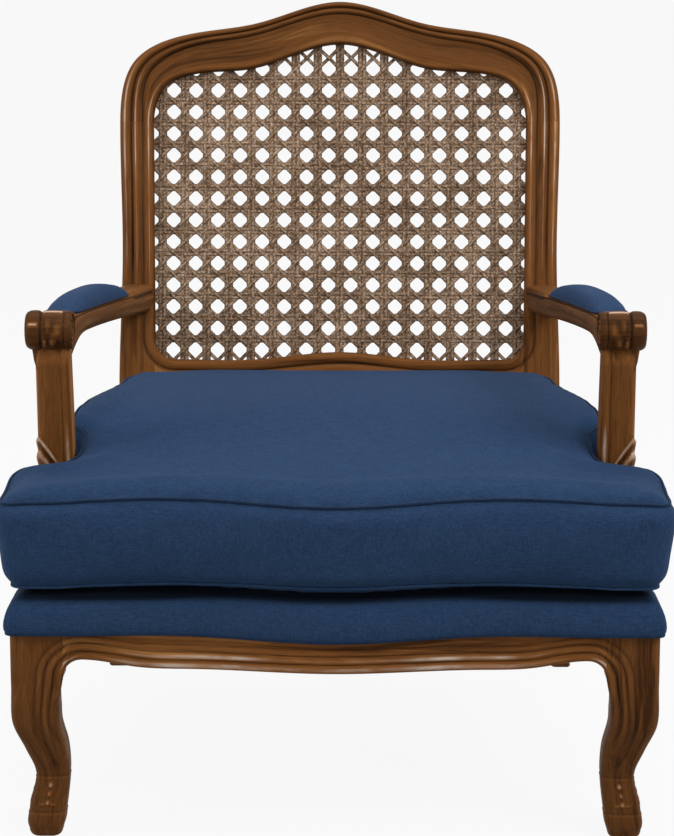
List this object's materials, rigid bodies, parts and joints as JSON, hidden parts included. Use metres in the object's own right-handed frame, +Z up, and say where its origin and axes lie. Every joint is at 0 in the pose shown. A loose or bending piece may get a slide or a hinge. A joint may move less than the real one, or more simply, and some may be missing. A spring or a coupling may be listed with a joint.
{
  "type": "caned armchair",
  "caption": "Open-arm carved wooden armchair with a caned back, padded arms, cabriole legs and a loose seat cushion on a sprung deck.",
  "frame": {"origin": "on the floor, under the centre of the chair's bounding box", "axes": "+Z up, -Y the way the sitter faces, X across the seat"},
  "size_m": [0.76, 0.7426, 0.9416],
  "materials": {
    "walnut": "satin",
    "beech": "matte",
    "cane": "satin",
    "blue_fabric": "matte",
    "foam": "matte",
    "burlap": "matte",
    "dark_cloth": "matte",
    "steel": "satin",
    "zip_metal": "satin"
  },
  "bodies": {
    "frame": {"front_leg_left": "walnut", "front_leg_right": "walnut", "back_stile_left": "walnut", "back_stile_right": "walnut", "crest_rail": "walnut", "lower_back_rail": "walnut", "front_seat_rail": "walnut", "side_seat_rail_left": "walnut", "side_seat_rail_right": "walnut", "rear_seat_rail": "walnut", "arm_post_left": "walnut", "arm_post_right": "walnut", "arm_left": "walnut", "arm_right": "walnut", "corner_blocks": "beech", "seat_rail_dowels": "beech", "back_frame_dowels": "beech", "arm_post_dowels": "beech", "arm_screw_plugs": "walnut", "arm_screws": "steel", "corner_block_screws": "steel", "cane_panel": "cane", "cane_spline": "cane", "seat_springs": "steel", "spring_clips": "steel", "deck_burlap": "burlap", "deck_pad": "foam", "deck_cover": "blue_fabric", "dust_cover": "dark_cloth", "dust_cover_tacks": "steel", "arm_pad_foam_left": "foam", "arm_pad_foam_right": "foam", "arm_pad_cover_left": "blue_fabric", "arm_pad_cover_right": "blue_fabric"},
    "cushion": {"cushion_core": "foam", "cushion_cover": "blue_fabric", "cushion_zip_tape": "blue_fabric"},
    "zip_slider": {"cushion_zip_slider": "zip_metal"}
  },
  "joints": [
    {"name": "cushion_slide", "type": "slide", "parent": "frame", "child": "cushion", "axis": [0, -1, 0], "range_m": [0, 0.6]},
    {"name": "zip_slide", "type": "slide", "parent": "cushion", "child": "zip_slider", "axis": [-1, 0, 0], "range_m": [0, 0.38]}
  ]
}
